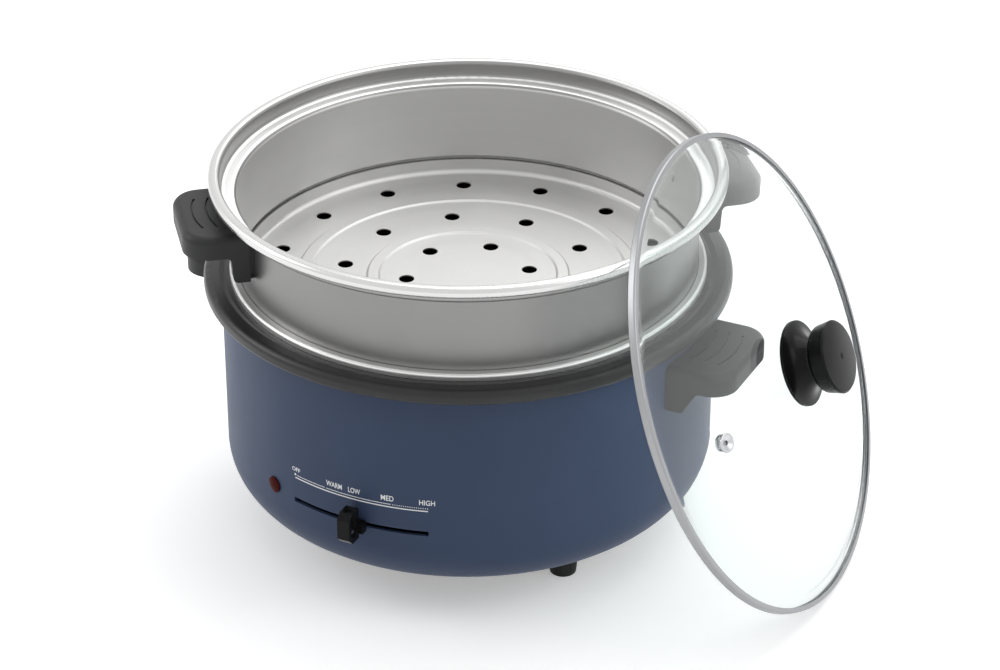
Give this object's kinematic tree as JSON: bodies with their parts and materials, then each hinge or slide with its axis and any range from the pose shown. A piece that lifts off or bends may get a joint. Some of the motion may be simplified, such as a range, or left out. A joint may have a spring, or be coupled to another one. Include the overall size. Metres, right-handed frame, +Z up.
{
  "type": "electric hot pot with lid",
  "caption": "Electric hot pot with a lift-out pot, a steamer insert, a slider control on the front and a loose domed glass lid that leans beside it.",
  "frame": {"origin": "on the pot's axis, in the plane of the surface that the feet stand on", "axes": "+Z up along the pot's axis; -Y towards the temperature slider; +X towards the side that the lid leans on"},
  "size_m": [0.4035, 0.3051, 0.2495],
  "materials": {
    "shell_paint": "matte",
    "base_steel": "satin",
    "feet": "matte",
    "screw_steel": "satin",
    "post_steel": "satin",
    "plate_aluminium": "satin",
    "element_sheath": "satin",
    "pin_brass": "satin",
    "black_plastic": "matte",
    "bracket_black": "satin",
    "lamp_red": "gloss",
    "lamp_glass": "gloss",
    "pot_coating": "satin",
    "steamer_steel": "satin",
    "lid_glass": "gloss",
    "band_steel": "satin",
    "seal_rubber": "matte",
    "scale_print": "satin"
  },
  "bodies": {
    "housing": {"outer_housing": "shell_paint", "base_cover": "base_steel", "heat_shield": "base_steel", "rubber_foot_1": "feet", "rubber_foot_2": "feet", "rubber_foot_3": "feet", "foot_screw_1": "screw_steel", "foot_screw_2": "screw_steel", "foot_screw_3": "screw_steel", "post_screw_1": "screw_steel", "post_screw_2": "screw_steel", "post_screw_3": "screw_steel", "inlet_screw_1": "screw_steel", "inlet_screw_2": "screw_steel", "right_pot_handle_screw_1": "screw_steel", "right_pot_handle_screw_2": "screw_steel", "left_pot_handle_screw_1": "screw_steel", "left_pot_handle_screw_2": "screw_steel", "support_post_1": "post_steel", "support_post_2": "post_steel", "support_post_3": "post_steel", "heating_plate": "plate_aluminium", "heating_element": "element_sheath", "element_terminal_1": "pin_brass", "element_terminal_2": "pin_brass", "inlet_pin_1": "pin_brass", "inlet_pin_2": "pin_brass", "inlet_pin_3": "pin_brass", "thermostat_body": "black_plastic", "inlet_socket": "black_plastic", "right_pot_handle": "black_plastic", "left_pot_handle": "black_plastic", "lamp_lens": "lamp_red", "lamp_bulb": "lamp_glass"},
    "lever": {"thermostat_spindle": "post_steel", "lever_arm": "post_steel", "lever_screw": "screw_steel", "slider_knob": "black_plastic"},
    "pot": {"inner_pot": "pot_coating"},
    "steamer": {"right_steamer_rivet_1": "screw_steel", "right_steamer_rivet_2": "screw_steel", "left_steamer_rivet_1": "screw_steel", "left_steamer_rivet_2": "screw_steel", "right_steamer_handle": "black_plastic", "left_steamer_handle": "black_plastic", "right_steamer_bracket": "bracket_black", "left_steamer_bracket": "bracket_black", "steamer_shell": "steamer_steel"},
    "lid": {"lid_glass": "lid_glass", "lid_band": "band_steel", "vent_grommet": "screw_steel", "knob_escutcheon": "black_plastic", "lid_knob": "black_plastic", "glass_seal": "seal_rubber", "knob_washer": "screw_steel", "knob_screw": "screw_steel"}
  },
  "joints": [
    {"name": "temperature_slider", "type": "hinge", "parent": "housing", "child": "lever", "pos_m": [0, 0, 0.0625], "axis": [0, 0, 1], "range_deg": [-15.2, 14.8]},
    {"name": "pot_lift", "type": "slide", "parent": "housing", "child": "pot", "axis": [0, 0, 1], "range_m": [0, 0.13]},
    {"name": "steamer_lift", "type": "slide", "parent": "pot", "child": "steamer", "axis": [0, 0, 1], "range_m": [0, 0.08]},
    {"name": "lid_pull", "type": "slide", "parent": "steamer", "child": "lid", "axis": [0.9163, 0.0368, 0.3987], "range_m": [0, 0.12]}
  ]
}
